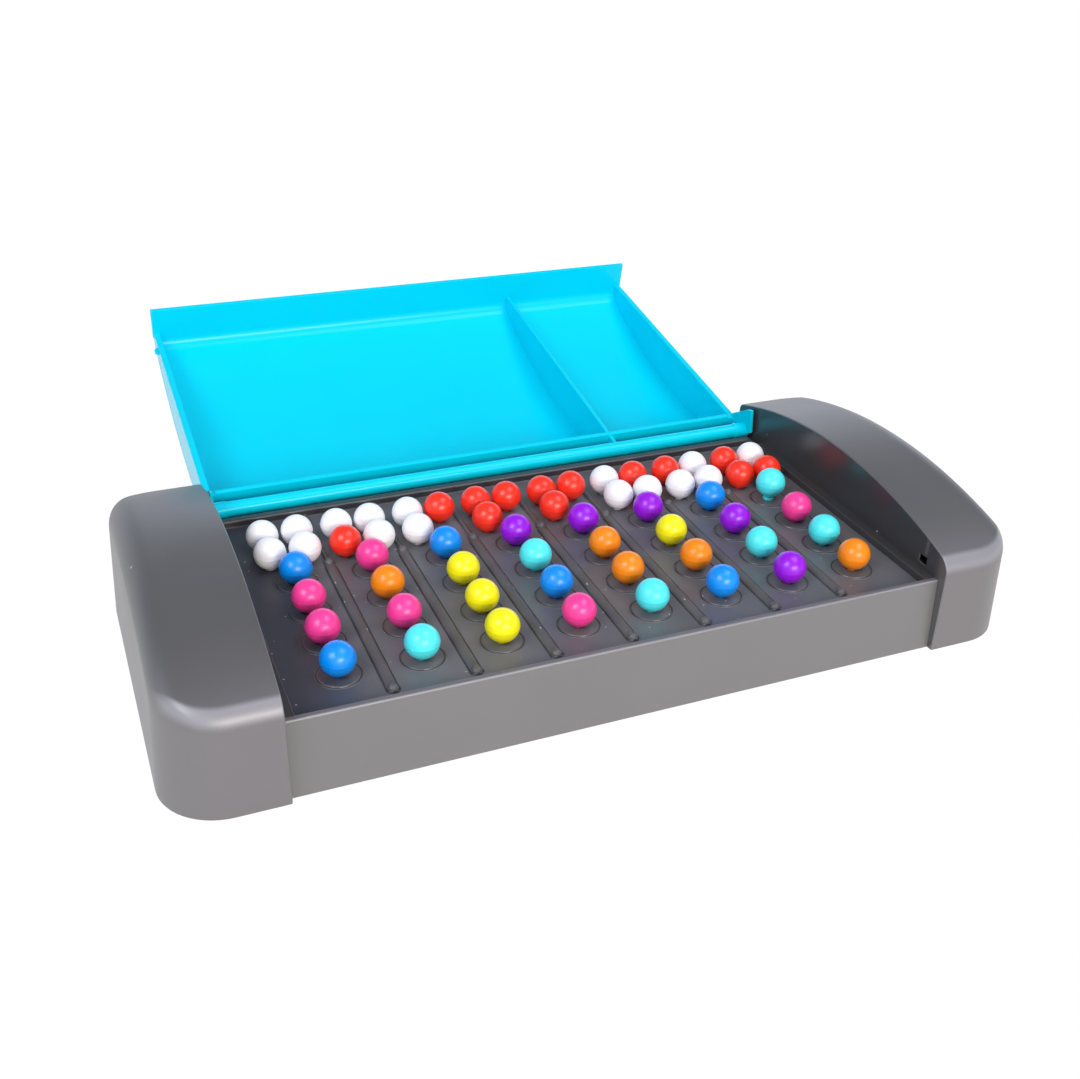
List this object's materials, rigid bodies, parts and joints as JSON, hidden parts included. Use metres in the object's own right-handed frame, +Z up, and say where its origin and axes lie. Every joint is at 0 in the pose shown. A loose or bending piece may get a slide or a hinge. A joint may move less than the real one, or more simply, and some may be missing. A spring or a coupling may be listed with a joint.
{
  "type": "code breaking peg game",
  "caption": "Peg game board: a low housing with two arched end caps and a ribbed deck of peg holes, ball-headed pegs that pull out, and a hinged lid that is a divided peg tray.",
  "frame": {"origin": "middle of the flat underside that the game rests on", "axes": "+Z up, +X along the length to the player's right, +Y to the back, where the lid is hinged"},
  "size_m": [0.28, 0.245, 0.0577],
  "materials": {
    "grey_abs": "satin moulded ABS",
    "cyan_abs": "gloss moulded ABS",
    "blue_abs": "semi-gloss moulded plastic",
    "pink_abs": "semi-gloss moulded plastic",
    "orange_abs": "semi-gloss moulded plastic",
    "yellow_abs": "semi-gloss moulded plastic",
    "violet_abs": "semi-gloss moulded plastic",
    "turquoise_abs": "semi-gloss moulded plastic",
    "red_abs": "semi-gloss moulded plastic",
    "white_abs": "semi-gloss moulded plastic"
  },
  "bodies": {
    "housing": {"housing": "grey_abs", "base_cover": "grey_abs"},
    "lid": {"lid": "cyan_abs"},
    "code_peg_1_4": {"code_peg_1_4": "blue_abs"},
    "code_peg_1_3": {"code_peg_1_3": "pink_abs"},
    "code_peg_1_2": {"code_peg_1_2": "pink_abs"},
    "code_peg_1_1": {"code_peg_1_1": "blue_abs"},
    "key_peg_1_back_left": {"key_peg_1_back_left": "white_abs"},
    "key_peg_1_front_left": {"key_peg_1_front_left": "white_abs"},
    "key_peg_1_back_right": {"key_peg_1_back_right": "white_abs"},
    "key_peg_1_front_right": {"key_peg_1_front_right": "white_abs"},
    "code_peg_2_4": {"code_peg_2_4": "pink_abs"},
    "code_peg_2_3": {"code_peg_2_3": "orange_abs"},
    "code_peg_2_2": {"code_peg_2_2": "pink_abs"},
    "code_peg_2_1": {"code_peg_2_1": "turquoise_abs"},
    "key_peg_2_back_left": {"key_peg_2_back_left": "white_abs"},
    "key_peg_2_front_left": {"key_peg_2_front_left": "red_abs"},
    "key_peg_2_back_right": {"key_peg_2_back_right": "white_abs"},
    "key_peg_2_front_right": {"key_peg_2_front_right": "white_abs"},
    "code_peg_3_4": {"code_peg_3_4": "blue_abs"},
    "code_peg_3_3": {"code_peg_3_3": "yellow_abs"},
    "code_peg_3_2": {"code_peg_3_2": "yellow_abs"},
    "code_peg_3_1": {"code_peg_3_1": "yellow_abs"},
    "key_peg_3_back_left": {"key_peg_3_back_left": "white_abs"},
    "key_peg_3_front_left": {"key_peg_3_front_left": "white_abs"},
    "key_peg_3_back_right": {"key_peg_3_back_right": "red_abs"},
    "code_peg_4_4": {"code_peg_4_4": "violet_abs"},
    "code_peg_4_3": {"code_peg_4_3": "turquoise_abs"},
    "code_peg_4_2": {"code_peg_4_2": "blue_abs"},
    "code_peg_4_1": {"code_peg_4_1": "pink_abs"},
    "key_peg_4_back_left": {"key_peg_4_back_left": "red_abs"},
    "key_peg_4_front_left": {"key_peg_4_front_left": "red_abs"},
    "code_peg_5_4": {"code_peg_5_4": "violet_abs"},
    "code_peg_5_3": {"code_peg_5_3": "orange_abs"},
    "code_peg_5_2": {"code_peg_5_2": "orange_abs"},
    "code_peg_5_1": {"code_peg_5_1": "turquoise_abs"},
    "key_peg_5_back_left": {"key_peg_5_back_left": "red_abs"},
    "key_peg_5_front_left": {"key_peg_5_front_left": "red_abs"},
    "code_peg_6_4": {"code_peg_6_4": "violet_abs"},
    "code_peg_6_3": {"code_peg_6_3": "yellow_abs"},
    "code_peg_6_2": {"code_peg_6_2": "orange_abs"},
    "code_peg_6_1": {"code_peg_6_1": "blue_abs"},
    "key_peg_6_back_left": {"key_peg_6_back_left": "white_abs"},
    "key_peg_6_front_left": {"key_peg_6_front_left": "white_abs"},
    "key_peg_6_front_right": {"key_peg_6_front_right": "white_abs"},
    "code_peg_7_4": {"code_peg_7_4": "blue_abs"},
    "code_peg_7_3": {"code_peg_7_3": "violet_abs"},
    "code_peg_7_2": {"code_peg_7_2": "turquoise_abs"},
    "code_peg_7_1": {"code_peg_7_1": "violet_abs"},
    "key_peg_7_back_left": {"key_peg_7_back_left": "red_abs"},
    "key_peg_7_front_left": {"key_peg_7_front_left": "white_abs"},
    "key_peg_7_front_right": {"key_peg_7_front_right": "white_abs"},
    "code_peg_8_4": {"code_peg_8_4": "turquoise_abs"},
    "code_peg_8_3": {"code_peg_8_3": "pink_abs"},
    "code_peg_8_2": {"code_peg_8_2": "turquoise_abs"},
    "code_peg_8_1": {"code_peg_8_1": "orange_abs"},
    "key_peg_8_back_left": {"key_peg_8_back_left": "red_abs"},
    "key_peg_8_front_left": {"key_peg_8_front_left": "red_abs"},
    "key_peg_8_back_right": {"key_peg_8_back_right": "white_abs"},
    "key_peg_8_front_right": {"key_peg_8_front_right": "red_abs"}
  },
  "joints": [
    {"name": "lid_hinge", "type": "hinge", "parent": "housing", "child": "lid", "pos_m": [0, 0.0578, 0.0259], "axis": [-1, 0, 0], "range_deg": [-170.15, 0]},
    {"name": "pull_code_peg_1_4", "type": "slide", "parent": "housing", "child": "code_peg_1_4", "axis": [0, 0, 1], "range_m": [0, 0.015]},
    {"name": "pull_code_peg_1_3", "type": "slide", "parent": "housing", "child": "code_peg_1_3", "axis": [0, 0, 1], "range_m": [0, 0.015]},
    {"name": "pull_code_peg_1_2", "type": "slide", "parent": "housing", "child": "code_peg_1_2", "axis": [0, 0, 1], "range_m": [0, 0.015]},
    {"name": "pull_code_peg_1_1", "type": "slide", "parent": "housing", "child": "code_peg_1_1", "axis": [0, 0, 1], "range_m": [0, 0.015]},
    {"name": "pull_key_peg_1_back_left", "type": "slide", "parent": "housing", "child": "key_peg_1_back_left", "axis": [0, 0, 1], "range_m": [0, 0.015]},
    {"name": "pull_key_peg_1_front_left", "type": "slide", "parent": "housing", "child": "key_peg_1_front_left", "axis": [0, 0, 1], "range_m": [0, 0.015]},
    {"name": "pull_key_peg_1_back_right", "type": "slide", "parent": "housing", "child": "key_peg_1_back_right", "axis": [0, 0, 1], "range_m": [0, 0.015]},
    {"name": "pull_key_peg_1_front_right", "type": "slide", "parent": "housing", "child": "key_peg_1_front_right", "axis": [0, 0, 1], "range_m": [0, 0.015]},
    {"name": "pull_code_peg_2_4", "type": "slide", "parent": "housing", "child": "code_peg_2_4", "axis": [0, 0, 1], "range_m": [0, 0.015]},
    {"name": "pull_code_peg_2_3", "type": "slide", "parent": "housing", "child": "code_peg_2_3", "axis": [0, 0, 1], "range_m": [0, 0.015]},
    {"name": "pull_code_peg_2_2", "type": "slide", "parent": "housing", "child": "code_peg_2_2", "axis": [0, 0, 1], "range_m": [0, 0.015]},
    {"name": "pull_code_peg_2_1", "type": "slide", "parent": "housing", "child": "code_peg_2_1", "axis": [0, 0, 1], "range_m": [0, 0.015]},
    {"name": "pull_key_peg_2_back_left", "type": "slide", "parent": "housing", "child": "key_peg_2_back_left", "axis": [0, 0, 1], "range_m": [0, 0.015]},
    {"name": "pull_key_peg_2_front_left", "type": "slide", "parent": "housing", "child": "key_peg_2_front_left", "axis": [0, 0, 1], "range_m": [0, 0.015]},
    {"name": "pull_key_peg_2_back_right", "type": "slide", "parent": "housing", "child": "key_peg_2_back_right", "axis": [0, 0, 1], "range_m": [0, 0.015]},
    {"name": "pull_key_peg_2_front_right", "type": "slide", "parent": "housing", "child": "key_peg_2_front_right", "axis": [0, 0, 1], "range_m": [0, 0.015]},
    {"name": "pull_code_peg_3_4", "type": "slide", "parent": "housing", "child": "code_peg_3_4", "axis": [0, 0, 1], "range_m": [0, 0.015]},
    {"name": "pull_code_peg_3_3", "type": "slide", "parent": "housing", "child": "code_peg_3_3", "axis": [0, 0, 1], "range_m": [0, 0.015]},
    {"name": "pull_code_peg_3_2", "type": "slide", "parent": "housing", "child": "code_peg_3_2", "axis": [0, 0, 1], "range_m": [0, 0.015]},
    {"name": "pull_code_peg_3_1", "type": "slide", "parent": "housing", "child": "code_peg_3_1", "axis": [0, 0, 1], "range_m": [0, 0.015]},
    {"name": "pull_key_peg_3_back_left", "type": "slide", "parent": "housing", "child": "key_peg_3_back_left", "axis": [0, 0, 1], "range_m": [0, 0.015]},
    {"name": "pull_key_peg_3_front_left", "type": "slide", "parent": "housing", "child": "key_peg_3_front_left", "axis": [0, 0, 1], "range_m": [0, 0.015]},
    {"name": "pull_key_peg_3_back_right", "type": "slide", "parent": "housing", "child": "key_peg_3_back_right", "axis": [0, 0, 1], "range_m": [0, 0.015]},
    {"name": "pull_code_peg_4_4", "type": "slide", "parent": "housing", "child": "code_peg_4_4", "axis": [0, 0, 1], "range_m": [0, 0.015]},
    {"name": "pull_code_peg_4_3", "type": "slide", "parent": "housing", "child": "code_peg_4_3", "axis": [0, 0, 1], "range_m": [0, 0.015]},
    {"name": "pull_code_peg_4_2", "type": "slide", "parent": "housing", "child": "code_peg_4_2", "axis": [0, 0, 1], "range_m": [0, 0.015]},
    {"name": "pull_code_peg_4_1", "type": "slide", "parent": "housing", "child": "code_peg_4_1", "axis": [0, 0, 1], "range_m": [0, 0.015]},
    {"name": "pull_key_peg_4_back_left", "type": "slide", "parent": "housing", "child": "key_peg_4_back_left", "axis": [0, 0, 1], "range_m": [0, 0.015]},
    {"name": "pull_key_peg_4_front_left", "type": "slide", "parent": "housing", "child": "key_peg_4_front_left", "axis": [0, 0, 1], "range_m": [0, 0.015]},
    {"name": "pull_code_peg_5_4", "type": "slide", "parent": "housing", "child": "code_peg_5_4", "axis": [0, 0, 1], "range_m": [0, 0.015]},
    {"name": "pull_code_peg_5_3", "type": "slide", "parent": "housing", "child": "code_peg_5_3", "axis": [0, 0, 1], "range_m": [0, 0.015]},
    {"name": "pull_code_peg_5_2", "type": "slide", "parent": "housing", "child": "code_peg_5_2", "axis": [0, 0, 1], "range_m": [0, 0.015]},
    {"name": "pull_code_peg_5_1", "type": "slide", "parent": "housing", "child": "code_peg_5_1", "axis": [0, 0, 1], "range_m": [0, 0.015]},
    {"name": "pull_key_peg_5_back_left", "type": "slide", "parent": "housing", "child": "key_peg_5_back_left", "axis": [0, 0, 1], "range_m": [0, 0.015]},
    {"name": "pull_key_peg_5_front_left", "type": "slide", "parent": "housing", "child": "key_peg_5_front_left", "axis": [0, 0, 1], "range_m": [0, 0.015]},
    {"name": "pull_code_peg_6_4", "type": "slide", "parent": "housing", "child": "code_peg_6_4", "axis": [0, 0, 1], "range_m": [0, 0.015]},
    {"name": "pull_code_peg_6_3", "type": "slide", "parent": "housing", "child": "code_peg_6_3", "axis": [0, 0, 1], "range_m": [0, 0.015]},
    {"name": "pull_code_peg_6_2", "type": "slide", "parent": "housing", "child": "code_peg_6_2", "axis": [0, 0, 1], "range_m": [0, 0.015]},
    {"name": "pull_code_peg_6_1", "type": "slide", "parent": "housing", "child": "code_peg_6_1", "axis": [0, 0, 1], "range_m": [0, 0.015]},
    {"name": "pull_key_peg_6_back_left", "type": "slide", "parent": "housing", "child": "key_peg_6_back_left", "axis": [0, 0, 1], "range_m": [0, 0.015]},
    {"name": "pull_key_peg_6_front_left", "type": "slide", "parent": "housing", "child": "key_peg_6_front_left", "axis": [0, 0, 1], "range_m": [0, 0.015]},
    {"name": "pull_key_peg_6_front_right", "type": "slide", "parent": "housing", "child": "key_peg_6_front_right", "axis": [0, 0, 1], "range_m": [0, 0.015]},
    {"name": "pull_code_peg_7_4", "type": "slide", "parent": "housing", "child": "code_peg_7_4", "axis": [0, 0, 1], "range_m": [0, 0.015]},
    {"name": "pull_code_peg_7_3", "type": "slide", "parent": "housing", "child": "code_peg_7_3", "axis": [0, 0, 1], "range_m": [0, 0.015]},
    {"name": "pull_code_peg_7_2", "type": "slide", "parent": "housing", "child": "code_peg_7_2", "axis": [0, 0, 1], "range_m": [0, 0.015]},
    {"name": "pull_code_peg_7_1", "type": "slide", "parent": "housing", "child": "code_peg_7_1", "axis": [0, 0, 1], "range_m": [0, 0.015]},
    {"name": "pull_key_peg_7_back_left", "type": "slide", "parent": "housing", "child": "key_peg_7_back_left", "axis": [0, 0, 1], "range_m": [0, 0.015]},
    {"name": "pull_key_peg_7_front_left", "type": "slide", "parent": "housing", "child": "key_peg_7_front_left", "axis": [0, 0, 1], "range_m": [0, 0.015]},
    {"name": "pull_key_peg_7_front_right", "type": "slide", "parent": "housing", "child": "key_peg_7_front_right", "axis": [0, 0, 1], "range_m": [0, 0.015]},
    {"name": "pull_code_peg_8_4", "type": "slide", "parent": "housing", "child": "code_peg_8_4", "axis": [0, 0, 1], "range_m": [-0.001, 0.015]},
    {"name": "pull_code_peg_8_3", "type": "slide", "parent": "housing", "child": "code_peg_8_3", "axis": [0, 0, 1], "range_m": [0, 0.015]},
    {"name": "pull_code_peg_8_2", "type": "slide", "parent": "housing", "child": "code_peg_8_2", "axis": [0, 0, 1], "range_m": [0, 0.015]},
    {"name": "pull_code_peg_8_1", "type": "slide", "parent": "housing", "child": "code_peg_8_1", "axis": [0, 0, 1], "range_m": [0, 0.015]},
    {"name": "pull_key_peg_8_back_left", "type": "slide", "parent": "housing", "child": "key_peg_8_back_left", "axis": [0, 0, 1], "range_m": [0, 0.015]},
    {"name": "pull_key_peg_8_front_left", "type": "slide", "parent": "housing", "child": "key_peg_8_front_left", "axis": [0, 0, 1], "range_m": [0, 0.015]},
    {"name": "pull_key_peg_8_back_right", "type": "slide", "parent": "housing", "child": "key_peg_8_back_right", "axis": [0, 0, 1], "range_m": [0, 0.015]},
    {"name": "pull_key_peg_8_front_right", "type": "slide", "parent": "housing", "child": "key_peg_8_front_right", "axis": [0, 0, 1], "range_m": [0, 0.015]}
  ]
}
